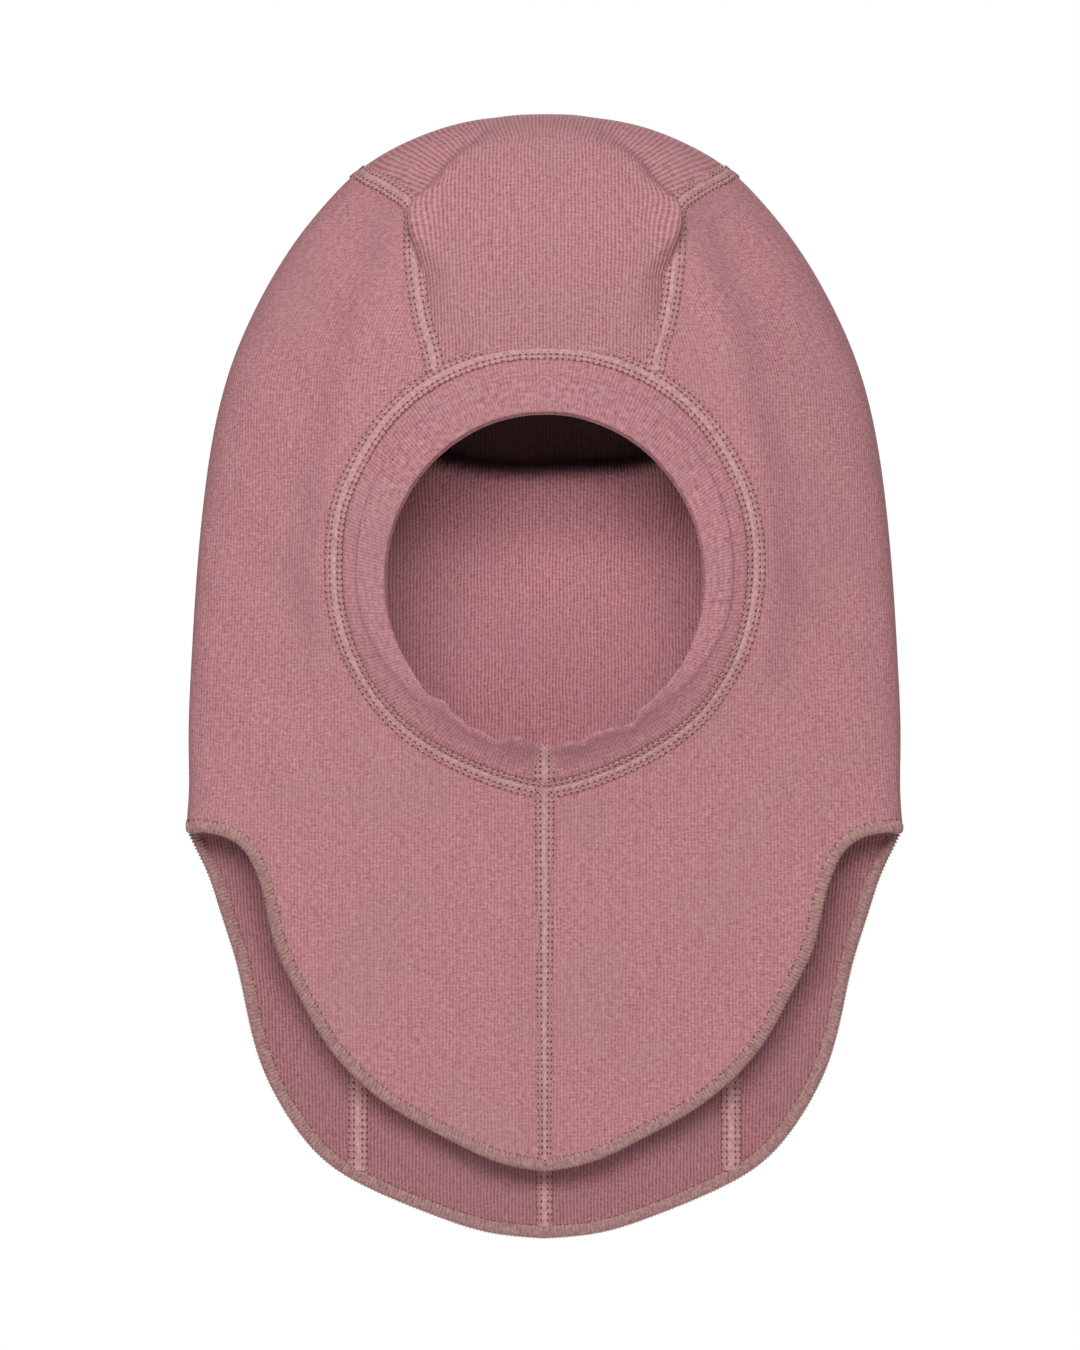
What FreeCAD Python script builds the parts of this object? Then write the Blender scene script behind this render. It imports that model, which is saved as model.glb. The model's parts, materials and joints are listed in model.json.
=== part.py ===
"""Child's balaclava: a double-layered rib-knit hood with a face band and a front and a back bib.

Frame: millimetres, +Z up, the face looks along -Y. The origin is where the crown of the head
bears on the lining. The cloth is a nest of thin shells round one body shape, and each cut piece
of cloth or line of stitching is the part of a shell that lies inside its own outline.
"""
import FreeCAD
import Part
import math
import os

# ---- driving dimensions -------------------------------------------------------------------
CLOTH = 1.1            # outer layer of rib knit
LINING = 0.9           # inner layer of rib knit
LAYER_GAP = 0.3        # air between the two layers
THREAD = 0.6           # height of a flatlock seam's threads
SEAM_WIDTH = 5.6       # four-needle flatlock seam
EDGE_GAP = 0.2         # half of the gap where two cut edges meet
HEM_WIDTH = 3.6        # overlocked edge
HEM_THREAD = 0.5       # height of the overlock threads
SECTION_POWER = 2.5    # how square the hood's plan section is
SECTION_STEPS = 32     # points in each section

CROWN_HALF = 57.0      # half width of the crown strip at the crown and down the back
FOREHEAD_HALF = 33.5   # half width of the crown strip at the face band
FACE_CENTRE_Z = -136.0
BAND_SEAM_R = 65.2     # radius of the seam round the face band
BAND_SEAM_DROP = 3.0   # how far the seam dips to a point at the chin
OPENING_HALF_WIDTH = 48.4
OPENING_HALF_HEIGHT = 50.6
OPENING_CENTRE_Z = -139.2
BAND_RISE = 7.5        # how far the band stands out in front of its seam
BAND_THICKNESS = 3.0   # the band is folded double
DOME_RISE = 13.0       # how far face and forehead stand out of the front
DOME_CENTRE_Z = -118.0
DOME_HALF_WIDTH = 74.0
DOME_HALF_HEIGHT = 84.0
NAPE_Z = -196.0        # where the centre back seam starts
NOTCH = (-107.6, -216.0)
FOLD_Z = -240.0        # where the bibs fold
FOLD_GAP = 0.25        # half of the gap at a fold
REACH = 130.0          # outlines run this far past the cloth

# Plan sections from the crown down: height, half width, depth to the front, depth to the back.
SECTIONS = [
    (2.3, 9.0, 4.5, 5.0),
    (1.1, 21.0, 10.0, 9.5),
    (-1.5, 31.8, 14.5, 13.0),
    (-6.0, 43.0, 18.5, 16.5),
    (-13.0, 55.0, 21.5, 19.0),
    (-24.0, 66.5, 24.0, 21.0),
    (-38.0, 77.5, 25.5, 22.5),
    (-54.0, 87.0, 26.0, 23.0),
    (-72.0, 95.0, 25.5, 23.0),
    (-92.0, 100.5, 24.5, 22.0),
    (-115.0, 104.0, 23.0, 20.0),
    (-140.0, 106.3, 21.0, 17.5),
    (-165.0, 107.8, 19.0, 15.0),
    (-188.0, 108.6, 17.0, 13.0),
    (-205.0, 108.2, 15.3, 12.2),
    (-222.0, 108.0, 13.4, 11.6),
    (-240.0, 108.0, 11.6, 11.0),
    (-270.0, 108.0, 8.3, 8.2),
    (-305.0, 108.0, 6.7, 6.6),
    (-345.0, 108.0, 6.1, 5.9),
]

# Edges of the left half in front view, as (x, z).
FRONT_HEM = [NOTCH, (-98.5, -216.7), (-92.7, -220.0), (-88.3, -226.8), (-84.9, -237.6), (-81.6, -251.2),
             (-75.2, -264.9), (-67.4, -279.0), (-56.3, -292.0), (-43.2, -301.8), (-28.5, -309.8),
             (-13.9, -316.4), (0.0, -319.2)]
BACK_HEM = [NOTCH, (-103.5, -226.0), (-99.2, -240.0), (-94.1, -256.3), (-90.7, -271.6), (-86.5, -286.8),
            (-78.8, -302.1), (-66.0, -317.3), (-53.2, -325.0), (-35.2, -332.6), (-17.0, -338.4), (0.0, -340.2)]
FOREHEAD_SEAM = [(-FOREHEAD_HALF, -73.5), (-38.0, -46.0), (-40.2, -34.0), (-41.8, -27.0), (-45.2, -22.0),
                 (-50.4, -18.6), (-55.0, -16.0), (-CROWN_HALF, -12.0), (-CROWN_HALF, 0.0), (-CROWN_HALF, 12.0)]


# ---- the body shape -----------------------------------------------------------------------
def power(value, exponent):
    """A signed power, which makes a superellipse from a circle."""
    return math.copysign(abs(value) ** exponent, value)


def dome(x, z):
    """How far the cloth over the face and forehead stands out of the front."""
    face = math.exp(-((x / DOME_HALF_WIDTH) ** 2 + ((z - DOME_CENTRE_Z) / DOME_HALF_HEIGHT) ** 2) ** 2)
    forehead = math.exp(-(x / 42.0) ** 4 - ((z + 52.0) / 36.0) ** 4)
    return DOME_RISE * max(face, 0.0) + 0.55 * DOME_RISE * forehead * (1.0 - face)


def section_rows(depth):
    """The plan sections of the shell that lies depth inside the cloth's face."""
    rows = []
    for i, (z, width, front, back) in enumerate(SECTIONS):
        above = SECTIONS[max(i - 1, 0)]
        below = SECTIONS[min(i + 1, len(SECTIONS) - 1)]
        run = (below[1] - above[1] + below[3] - above[3]) / 2
        drop = above[0] - below[0]
        length = math.hypot(run, drop)
        sideways = drop / length
        upward = run / length
        rows.append((z - depth * upward, width - depth * sideways,
                     front - depth * sideways, back - depth * sideways))
    return rows


def section_points(row):
    """The points of one closed plan section, from the right side round by the back."""
    z, width, front, back = row
    points = []
    for i in range(SECTION_STEPS):
        angle = 2 * math.pi * i / SECTION_STEPS
        x = width * power(math.cos(angle), 2 / SECTION_POWER)
        y = power(math.sin(angle), 2 / SECTION_POWER)
        y = y * back if y > 0 else y * front - dome(x, z) * min(1.0, -2.5 * y)
        points.append(FreeCAD.Vector(x, y, z))
    return points


def section_wire(row):
    """One closed plan section. Every section has the same knots, which keeps the loft light."""
    typical = section_points((0.0, SECTIONS[-1][1], SECTIONS[0][2] * 6, SECTIONS[0][2] * 6))
    knots = [0.0]
    for i, point in enumerate(typical):
        knots.append(knots[-1] + point.distanceToPoint(typical[(i + 1) % SECTION_STEPS]))
    curve = Part.BSplineCurve()
    curve.interpolate(section_points(row), PeriodicFlag=True, Parameters=knots)
    return Part.Wire([curve.toShape()])


def body(depth, foot=0.0):
    """The solid inside the shell that lies depth inside the cloth's face."""
    rows = section_rows(depth)
    last = rows[-1]
    rows.append((last[0] - 6.0 - foot, last[1], last[2], last[3]))
    return Part.makeLoft([section_wire(row) for row in rows], True, False)


def shell(outer, inner):
    """The space between two depths, open at the bottom."""
    return body(outer).cut(body(inner, foot=4.0))


def front_depth(x, z):
    """Where the front face of the cloth lies, as a distance in front of y = 0."""
    for upper, lower in zip(SECTIONS, SECTIONS[1:]):
        if upper[0] >= z >= lower[0]:
            share = (upper[0] - z) / (upper[0] - lower[0])
            width = upper[1] + share * (lower[1] - upper[1])
            front = upper[2] + share * (lower[2] - upper[2])
            flat = max(0.0, 1 - abs(x / width) ** SECTION_POWER) ** (1 / SECTION_POWER)
            return front * flat + dome(x, z) * min(1.0, 2.5 * flat)
    raise ValueError("height outside the hood")


# ---- outlines in front view ---------------------------------------------------------------
def mirrored(points):
    return [(-x, z) for x, z in points]


def curve_edge(points):
    """A smooth edge through points of the front view."""
    curve = Part.BSplineCurve()
    curve.interpolate([FreeCAD.Vector(x, 0, z) for x, z in points])
    return curve.toShape()


def line_edges(points):
    return [Part.makeLine(FreeCAD.Vector(a[0], 0, a[1]), FreeCAD.Vector(b[0], 0, b[1]))
            for a, b in zip(points, points[1:])]


def prism(edges, near, far):
    """The solid behind a closed outline, from y = near to y = far."""
    face = Part.Face(Part.Wire(Part.__sortEdges__(edges)))
    face.translate(FreeCAD.Vector(0, near, 0))
    return face.extrude(FreeCAD.Vector(0, far - near, 0)).toNurbs()


def block(x_low, x_high, y_low, y_high, z_low, z_high):
    return Part.makeBox(x_high - x_low, y_high - y_low, z_high - z_low, FreeCAD.Vector(x_low, y_low, z_low))


def shifted(points, distance):
    """The line that runs beside points, distance to the left of their direction."""
    moved = []
    for i, (x, z) in enumerate(points):
        a = points[max(i - 1, 0)]
        b = points[min(i + 1, len(points) - 1)]
        length = math.hypot(b[0] - a[0], b[1] - a[1])
        moved.append((x - distance * (b[1] - a[1]) / length, z + distance * (b[0] - a[0]) / length))
    return moved


def band_seam_point(angle, grow=0.0):
    """A point of the seam round the face band; the angle runs from the top, anticlockwise in front view."""
    point_down = max(0.0, -math.cos(angle)) ** 12
    r = BAND_SEAM_R + grow + BAND_SEAM_DROP * point_down
    return (-r * math.sin(angle), FACE_CENTRE_Z + r * math.cos(angle))


def band_disc(grow, near=-REACH, far=0.0):
    """The solid inside the seam round the face band."""
    points = [band_seam_point(2 * math.pi * i / 48, grow) for i in range(48)]
    curve = Part.BSplineCurve()
    curve.interpolate([FreeCAD.Vector(x, 0, z) for x, z in points], PeriodicFlag=True)
    return prism([curve.toShape()], near, far)


def below_hem(hem, lift, near, far):
    """Everything under a hem, raised by lift, between two depths. The hem is mirrored to the right."""
    left = shifted(hem, lift)
    left[-1] = (0.0, hem[-1][1] + lift)
    left[0] = (NOTCH[0] - 0.5, NOTCH[1] + lift)
    full = left + mirrored(left[-2::-1])
    low = -REACH * 3
    sides = [(-REACH, left[0][1]), (-REACH, low), (REACH, low), (REACH, left[0][1])]
    edges = [curve_edge(full)] + line_edges([left[0]] + sides + [mirrored(left)[0]])
    return prism(edges, near, far)


def above_hem(solid, lift):
    """What is left of solid above both hems, raised by lift."""
    cut = solid.cut(below_hem(FRONT_HEM, lift, -REACH, 0.0))
    return cut.cut(below_hem(BACK_HEM, lift, 0.0, REACH))


def crown_strip(shrink):
    """The solid that holds the crown strip: forehead, crown, back of the head and back bib."""
    left = shifted(FOREHEAD_SEAM, -shrink)
    left = [(left[0][0], -90.0)] + left
    left[-1] = (-CROWN_HALF + shrink, left[-1][1])
    top = 20.0
    up = [left[-1], (left[-1][0], top), (-left[-1][0], top), (-left[-1][0], left[-1][1])]
    front_edges = [curve_edge(left), curve_edge(mirrored(left))]
    front_edges += line_edges(up) + line_edges([left[0], mirrored(left)[0]])
    front = prism(front_edges, -REACH, 0.0)
    back = block(-CROWN_HALF + shrink, CROWN_HALF - shrink, 0.0, REACH, -REACH * 3, top)
    return front.fuse(back).removeSplitter()


def ribbon(points, width, near, far):
    """A strip of the given width along a line of the front view, between two depths."""
    one = shifted(points, width / 2)
    two = shifted(points, -width / 2)
    edges = [curve_edge(one), curve_edge(two)] + line_edges([one[0], two[0]]) + line_edges([one[-1], two[-1]])
    return prism(edges, near, far)


# ---- bodies that move: the hood and the two bibs -----------------------------------------
def hood_half(solid):
    return solid.common(block(-REACH, REACH, -REACH, REACH, FOLD_Z + FOLD_GAP, 40))


def front_bib_half(solid):
    return solid.common(block(-REACH, REACH, -REACH, 0, -REACH * 3, FOLD_Z - FOLD_GAP))


def back_bib_half(solid):
    return solid.common(block(-REACH, REACH, 0, REACH, -REACH * 3, FOLD_Z - FOLD_GAP))


def save(name, solid):
    solids = [s for s in solid.Solids if s.Volume > 1.0]
    out = solids[0] if len(solids) == 1 else Part.makeCompound(solids)
    out.exportStep(os.path.join("parts", name + ".step"))
    print(name, len(solids), "solids,", round(out.Volume), "mm3, valid", out.isValid())


def save_pair(name, left):
    """Saves a piece of the left half, and its mirror image for the right half."""
    save("left_" + name, left)
    save("right_" + name, left.mirror(FreeCAD.Vector(0, 0, 0), FreeCAD.Vector(1, 0, 0)))


# ---- cloth -------------------------------------------------------------------------------
def cut_cloth(layer, suffix):
    """Cuts one layer of cloth into its pieces and saves them."""
    layer = above_hem(layer, HEM_WIDTH + EDGE_GAP)
    layer = layer.cut(band_disc(EDGE_GAP))
    slit = block(-EDGE_GAP, EDGE_GAP, 0, REACH, -REACH * 3, NAPE_Z)
    strip = layer.common(crown_strip(EDGE_GAP)).cut(slit)
    save("crown_" + suffix, hood_half(strip))
    save("back_bib_" + suffix, back_bib_half(strip))
    left = layer.common(block(-REACH, -EDGE_GAP, -REACH, REACH, -REACH * 3, 40))
    left = left.cut(crown_strip(-EDGE_GAP))
    save_pair("side_" + suffix, hood_half(left))
    save_pair("front_bib_" + suffix, front_bib_half(left))
    save_pair("back_bib_" + suffix, back_bib_half(left))


def face_band():
    """The folded band round the face: a ring from its seam in to the opening."""
    steps = 40

    def ring(reach, inset, rise):
        points = []
        for i in range(steps):
            angle = 2 * math.pi * i / steps
            seam_x, seam_z = band_seam_point(angle, -EDGE_GAP)
            edge_x = -OPENING_HALF_WIDTH * math.sin(angle)
            edge_z = OPENING_CENTRE_Z + OPENING_HALF_HEIGHT * math.cos(angle)
            x = seam_x + reach * (edge_x - seam_x)
            z = seam_z + reach * (edge_z - seam_z)
            length = math.hypot(x, z - FACE_CENTRE_Z)
            x -= inset * x / length
            z -= inset * (z - FACE_CENTRE_Z) / length
            y = -front_depth(seam_x, seam_z) - rise
            points.append(FreeCAD.Vector(x, y, z))
        curve = Part.BSplineCurve()
        curve.interpolate(points, PeriodicFlag=True)
        return Part.Wire([curve.toShape()])

    inside = BAND_THICKNESS
    rings = [ring(0.0, 0.0, 0.0), ring(0.45, 0.0, 0.62 * BAND_RISE), ring(0.85, 0.0, BAND_RISE),
             ring(1.0, 0.0, BAND_RISE - 0.5 * inside), ring(0.85, 0.0, BAND_RISE - inside),
             ring(0.45, 0.0, 0.62 * BAND_RISE - inside), ring(0.0, 0.0, -CLOTH - LAYER_GAP - LINING)]
    faces = []
    for one, two in zip(rings, rings[1:] + rings[:1]):
        faces += Part.makeRuledSurface(one, two).Faces
    joined = Part.makeShell(faces)
    joined.sewShape()
    solid = Part.makeSolid(joined)
    if solid.Volume < 0:
        solid.reverse()
    save("face_band", solid)


# ---- stitching ---------------------------------------------------------------------------
def seams(layer, suffix):
    """The threads of every flatlock seam, on one side of the cloth."""
    layer = above_hem(layer, HEM_WIDTH + 0.3)
    ring = layer.common(band_disc(SEAM_WIDTH / 2)).cut(band_disc(-SEAM_WIDTH / 2))
    if suffix == "":
        ring = ring.cut(band_disc(0.3))
    centre = block(-SEAM_WIDTH / 2, SEAM_WIDTH / 2, -REACH, 0, -REACH * 3, FACE_CENTRE_Z - BAND_SEAM_R)
    rest = layer.cut(band_disc(SEAM_WIDTH / 2 + 0.2))
    save("face_band_seam" + suffix, ring.common(block(-REACH, REACH, -REACH, 0, -REACH * 2, 0)))
    front = rest.common(centre)
    save("front_seam" + suffix, hood_half(front))
    save("front_bib_seam" + suffix, front_bib_half(front))
    back = rest.common(block(-SEAM_WIDTH / 2, SEAM_WIDTH / 2, 0, REACH, -REACH * 3, NAPE_Z))
    save("nape_seam" + suffix, hood_half(back))
    save("back_bib_seam" + suffix, back_bib_half(back))
    on_front = ribbon(FOREHEAD_SEAM, SEAM_WIDTH, -REACH, 0.0)
    on_back = block(-CROWN_HALF - SEAM_WIDTH / 2, -CROWN_HALF + SEAM_WIDTH / 2, 0, REACH, -REACH * 3, 20)
    crown = rest.common(on_front.fuse(on_back))
    save_pair("crown_seam" + suffix, hood_half(crown))
    save_pair("back_bib_seam" + suffix, back_bib_half(crown))


def hem_strip(hem, near, far, width):
    """The strip of front view that runs along a hem, between two depths."""
    return below_hem(hem, width, near, far).cut(below_hem(hem, 0.0, near, far))


def hems():
    """The overlocked edges: both layers and the threads round them, as one band along the hem."""
    wrap = shell(-HEM_THREAD, CLOTH + LAYER_GAP + LINING + HEM_THREAD)
    front = wrap.common(hem_strip(FRONT_HEM, -REACH, 0.0, HEM_WIDTH))
    back = wrap.common(hem_strip(BACK_HEM, 0.0, REACH, HEM_WIDTH))
    save("front_hem", front_bib_half(front))
    save("back_hem", back_bib_half(back))
    notch = hood_half(front).fuse(hood_half(back)).removeSplitter()
    save_pair("notch_hem", notch.common(block(-REACH, 0, -REACH, REACH, -REACH * 3, 0)))


def main():
    os.makedirs("parts", exist_ok=True)
    cut_cloth(shell(0.0, CLOTH), "panel")
    cut_cloth(shell(CLOTH + LAYER_GAP, CLOTH + LAYER_GAP + LINING), "lining")
    face_band()
    seams(shell(-0.1 - THREAD, -0.1), "")
    inner_face = CLOTH + LAYER_GAP + LINING + 0.1
    seams(shell(inner_face, inner_face + THREAD), "_underside")
    hems()


main()
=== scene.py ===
# A child's balaclava: a double-layered rib-knit hood with a folded face band and two bibs.
import json
import math

import bpy
import numpy as np
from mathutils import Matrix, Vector

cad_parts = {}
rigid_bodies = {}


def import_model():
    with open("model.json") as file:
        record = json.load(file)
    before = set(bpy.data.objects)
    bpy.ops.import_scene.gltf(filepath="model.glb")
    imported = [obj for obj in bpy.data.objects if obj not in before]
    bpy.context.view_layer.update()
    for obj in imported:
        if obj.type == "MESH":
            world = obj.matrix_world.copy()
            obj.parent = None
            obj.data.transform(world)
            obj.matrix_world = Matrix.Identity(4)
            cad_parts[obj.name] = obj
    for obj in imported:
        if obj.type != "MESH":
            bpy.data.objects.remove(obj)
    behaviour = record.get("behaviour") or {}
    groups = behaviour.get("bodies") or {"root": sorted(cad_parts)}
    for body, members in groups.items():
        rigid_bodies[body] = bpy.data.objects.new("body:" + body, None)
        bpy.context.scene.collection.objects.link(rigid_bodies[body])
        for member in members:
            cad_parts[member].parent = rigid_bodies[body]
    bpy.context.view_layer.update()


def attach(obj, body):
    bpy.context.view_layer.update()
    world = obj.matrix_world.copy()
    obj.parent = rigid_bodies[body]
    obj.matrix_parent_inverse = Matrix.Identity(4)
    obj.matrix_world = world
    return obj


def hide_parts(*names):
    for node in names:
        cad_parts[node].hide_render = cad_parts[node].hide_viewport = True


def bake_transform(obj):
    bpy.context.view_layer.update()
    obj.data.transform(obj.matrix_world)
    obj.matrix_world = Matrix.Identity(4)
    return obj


for left in list(bpy.data.objects):
    bpy.data.objects.remove(left)
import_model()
toMetres = 0.001    # shapes are worked out in millimetres

# The hood's shape is the frame's: rounded sections from the crown down, cut along the edges below.
hood = {
    "clothThickness": 1.1,
    "liningThickness": 0.9,
    "layerGap": 0.3,
    "sectionPower": 2.5,       # how square the plan section is
    "domeRise": 13.0,          # how far face and forehead stand out
    "domeCentreZ": -118.0,
    "domeHalfWidth": 74.0,
    "domeHalfHeight": 84.0,
    "foreheadCentreZ": -52.0,
    "foreheadHalfWidth": 42.0,
    "foreheadHalfHeight": 36.0,
    "foreheadShare": 0.55,     # its height as a share of the face's
    "meshStep": 1.6,           # distance between points of the cloth
    # height, half width, depth to the front, depth to the back
    "sections": [
        (2.6, 0.6, 0.3, 0.3), (2.3, 9.0, 4.5, 5.0), (1.1, 21.0, 10.0, 9.5), (-1.5, 31.8, 14.5, 13.0),
        (-6.0, 43.0, 18.5, 16.5), (-13.0, 55.0, 21.5, 19.0), (-24.0, 66.5, 24.0, 21.0),
        (-38.0, 77.5, 25.5, 22.5), (-54.0, 87.0, 26.0, 23.0), (-72.0, 95.0, 25.5, 23.0),
        (-92.0, 100.5, 24.5, 22.0), (-115.0, 104.0, 23.0, 20.0), (-140.0, 106.3, 21.0, 17.5),
        (-165.0, 107.8, 19.0, 15.0), (-188.0, 108.6, 17.0, 13.0), (-205.0, 108.2, 15.3, 12.2),
        (-222.0, 108.0, 13.4, 11.6), (-240.0, 108.0, 11.6, 11.0), (-270.0, 108.0, 8.3, 8.2),
        (-305.0, 108.0, 6.7, 6.6), (-345.0, 108.0, 6.1, 5.9),
    ],
}

# Edges of the pieces in front view, as (x, z), for the left half.
outline = {
    "frontHem": [(-107.6, -216.0), (-98.5, -216.7), (-92.7, -220.0), (-88.3, -226.8), (-84.9, -237.6),
                 (-81.6, -251.2), (-75.2, -264.9), (-67.4, -279.0), (-56.3, -292.0), (-43.2, -301.8),
                 (-28.5, -309.8), (-13.9, -316.4), (0.0, -319.2)],
    "backHem": [(-107.6, -216.0), (-103.5, -226.0), (-99.2, -240.0), (-94.1, -256.3), (-90.7, -271.6),
                (-86.5, -286.8), (-78.8, -302.1), (-66.0, -317.3), (-53.2, -325.0), (-35.2, -332.6),
                (-17.0, -338.4), (0.0, -340.2)],
    "foreheadSeam": [(-33.5, -73.5), (-36.6, -62.0), (-38.1, -53.0), (-38.9, -42.5), (-38.9, -34.0),
                     (-38.8, -29.5), (-39.2, -26.6), (-41.4, -24.0), (-45.4, -21.4), (-50.4, -18.4), (-55.0, -15.6),
                     (-57.0, -12.0), (-57.0, 0.0), (-57.0, 12.0)],
    "crownHalf": 57.0,
    "napeZ": -196.0,
    "bandCentreZ": -136.0,
    # the seam of the face band: degrees from its top, distance from its centre
    "bandSeam": [(0, 65.6), (30, 66.0), (45, 65.7), (56, 64.9), (68, 64.2), (90, 63.0), (110, 63.7), (126, 64.4),
                 (140, 64.3), (153, 63.9), (165, 64.6), (176, 66.1), (180, 66.7)],
}


def smoothThrough(points, count):
    # a natural cubic spline by chord length, sampled at even parameters
    points = np.array(points, float)
    knots = np.concatenate([[0], np.cumsum(np.linalg.norm(np.diff(points, axis=0), axis=1))])
    gaps = np.diff(knots)
    size = len(points)
    matrix = np.eye(size)
    right = np.zeros_like(points)
    for i in range(1, size - 1):
        matrix[i, i - 1:i + 2] = gaps[i - 1], 2 * (gaps[i - 1] + gaps[i]), gaps[i]
        right[i] = 6 * ((points[i + 1] - points[i]) / gaps[i] - (points[i] - points[i - 1]) / gaps[i - 1])
    bends = np.linalg.solve(matrix, right)
    at = np.linspace(0, knots[-1], count)
    i = np.clip(np.searchsorted(knots, at, side="right") - 1, 0, size - 2)
    a = ((knots[i + 1] - at) / gaps[i])[:, None]
    b = 1 - a
    curve = (a ** 3 - a) * bends[i] + (b ** 3 - b) * bends[i + 1]
    return a * points[i] + b * points[i + 1] + curve * (gaps[i] ** 2)[:, None] / 6


def along(points):
    # distance along a line of points
    return np.concatenate([[0], np.cumsum(np.linalg.norm(np.diff(points, axis=0), axis=1))])


def respaced(points, count):
    # the same line with evenly spaced points
    points = np.asarray(points, float)
    s = along(points)
    at = np.linspace(0, s[-1], count)
    return np.stack([np.interp(at, s, points[:, i]) for i in range(points.shape[1])], axis=1)


sectionRows = smoothThrough(hood["sections"], 3000)
frontHemLine = smoothThrough(outline["frontHem"], 400)
backHemLine = smoothThrough(outline["backHem"], 400)
foreheadLine = smoothThrough([(-33.5, -90.0)] + outline["foreheadSeam"], 400)


def sectionAt(t):
    # half width, front and back depth and height at t, from 0 at the crown to 1 at the hem
    at = np.clip(t, 0, 1) * (len(sectionRows) - 1)
    steps = np.arange(len(sectionRows))
    z, width, front, back = (np.interp(at, steps, sectionRows[:, i]) for i in range(4))
    return z, np.maximum(width, 0.05), np.maximum(front, 0.02), np.maximum(back, 0.02)


def tOfZ(z):
    return np.interp(-np.asarray(z, float), -sectionRows[:, 0], np.linspace(0, 1, len(sectionRows)))


def dome(x, z):
    face = np.exp(-((x / hood["domeHalfWidth"]) ** 2
                    + ((z - hood["domeCentreZ"]) / hood["domeHalfHeight"]) ** 2) ** 2)
    forehead = np.exp(-(x / hood["foreheadHalfWidth"]) ** 4
                      - ((z - hood["foreheadCentreZ"]) / hood["foreheadHalfHeight"]) ** 4)
    return hood["domeRise"] * (face + hood["foreheadShare"] * forehead * (1 - face))


def softStep(value, low, high):
    share = np.clip((value - low) / (high - low), 0, 1)
    return share * share * (3 - 2 * share)


def lineDistance(x, z, line):
    # distance from a line of points, positive on the right of its direction
    line = np.asarray(line, float)
    best = np.full(np.shape(x), 1e9)
    signed = np.zeros(np.shape(x))
    for a, b in zip(line, line[1:]):
        step = b - a
        share = np.clip(((x - a[0]) * step[0] + (z - a[1]) * step[1]) / (step @ step), 0, 1)
        dx, dz = x - a[0] - share * step[0], z - a[1] - share * step[1]
        distance = np.hypot(dx, dz)
        near = distance < best
        side = np.sign(step[1] * (x - a[0]) - step[0] * (z - a[1]))
        signed = np.where(near, side * distance, signed)
        best = np.where(near, distance, best)
    return signed


fullness = {
    "foreheadRise": 6.0,       # the forehead cloth puffs over its seam
    "foreheadOverhang": 3.6,
    "foreheadEdge": [(33.5, -80.0), (36.0, -62.0), (37.4, -50.0), (37.9, -40.0), (37.6, -32.0), (36.4, -27.0),
                     (34.0, -22.4), (28.4, -13.8), (24.1, -9.6), (19.0, -7.7), (9.0, -6.9), (0.0, -6.6)],
    "ridgeRise": 2.6,          # soft ridge beside the face
    "ridge": [(41.0, -27.0), (52.0, -58.0), (61.0, -92.0), (67.5, -132.0), (66.0, -165.0)],
    "notchFlare": 3.2,         # the side notches curl outwards
    "seamPull": 0.7,           # the front seam sits in a shallow groove
    "swagZ": -104.6,           # a fold inside, across the back of the head
    "swagDepth": 8.0,
    "crownShade": 0.86,        # how dark the painted shade on the lining is above that fold
    "bibShade": 0.3,           # and on the bibs
}


def puff(x, z, front):
    # how far the cloth stands out from the plain shape
    ax = np.abs(x)
    ridge = np.abs(lineDistance(ax, z, fullness["ridge"]))
    rise = fullness["ridgeRise"] * np.exp(-(ridge / 7.5) ** 2) * softStep(z, -185.0, -150.0)
    groove = np.exp(-(x / 5.5) ** 2) * softStep(-z, 206.0, 220.0)
    beside = np.exp(-((ax - 13) / 9) ** 2) * softStep(-z, 206.0, 240.0)
    rise = rise + fullness["seamPull"] * (1.4 * beside - groove)
    rise = rise + 0.3 * np.sin(x * 0.11 + 1.3) * np.sin(z * 0.083 + 0.4) + 0.22 * np.sin(x * 0.23 + z * 0.19)
    return np.where(front, rise, 0.25 * np.sin(x * 0.09) * np.sin(z * 0.07 + 1.1))


def foreheadPuff(x, z):
    # the forehead's own fullness: how far it stands out, and how far it hangs over its seam
    ax = np.abs(x)
    inside = -lineDistance(ax, z, fullness["foreheadEdge"])
    lower = foreheadLine[foreheadLine[:, 1] < -27.0][::6]
    fromSeam = lineDistance(-ax, z, lower)
    fromSeam = np.where(z > -27.0, np.hypot(ax - 39.6, z + 27.0), fromSeam)
    corner = softStep(z, -50.0, -33.0)
    width = 2.2 + 15.0 * (1 - softStep(ax, 6.0, 24.0))
    start, end = 2.8 - 2.8 * corner, 10.0 - 6.5 * corner
    edge = np.clip((fromSeam - start) / (end - start), 0, 1)
    rise = fullness["foreheadRise"] * softStep(inside, -width, 1.4) * softStep(z, -78.0, -32.0) * edge ** 0.7
    hang = np.exp(-((inside - 1.5) / 3.4) ** 2) * softStep(fromSeam, 0.0, 3.0)
    hang = hang * corner * (1 - softStep(z, -30.0, -17.0))
    return rise, fullness["foreheadOverhang"] * hang


def plainPoint(phi, t):
    # the smooth hood at an angle round its section; the front is where the angle is below 0
    z, width, front, back = sectionAt(t)
    share = 2 / hood["sectionPower"]
    c, s = np.cos(phi), np.sin(phi)
    x = width * np.sign(c) * np.abs(c) ** share
    y = np.sign(s) * np.abs(s) ** share
    y = np.where(y < 0, y * front - dome(x, z) * np.minimum(1, -2.5 * y), y * back)
    return np.stack([x, y, z], axis=-1)


def unit(vectors):
    return vectors / np.maximum(np.linalg.norm(vectors, axis=-1, keepdims=True), 1e-12)


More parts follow.
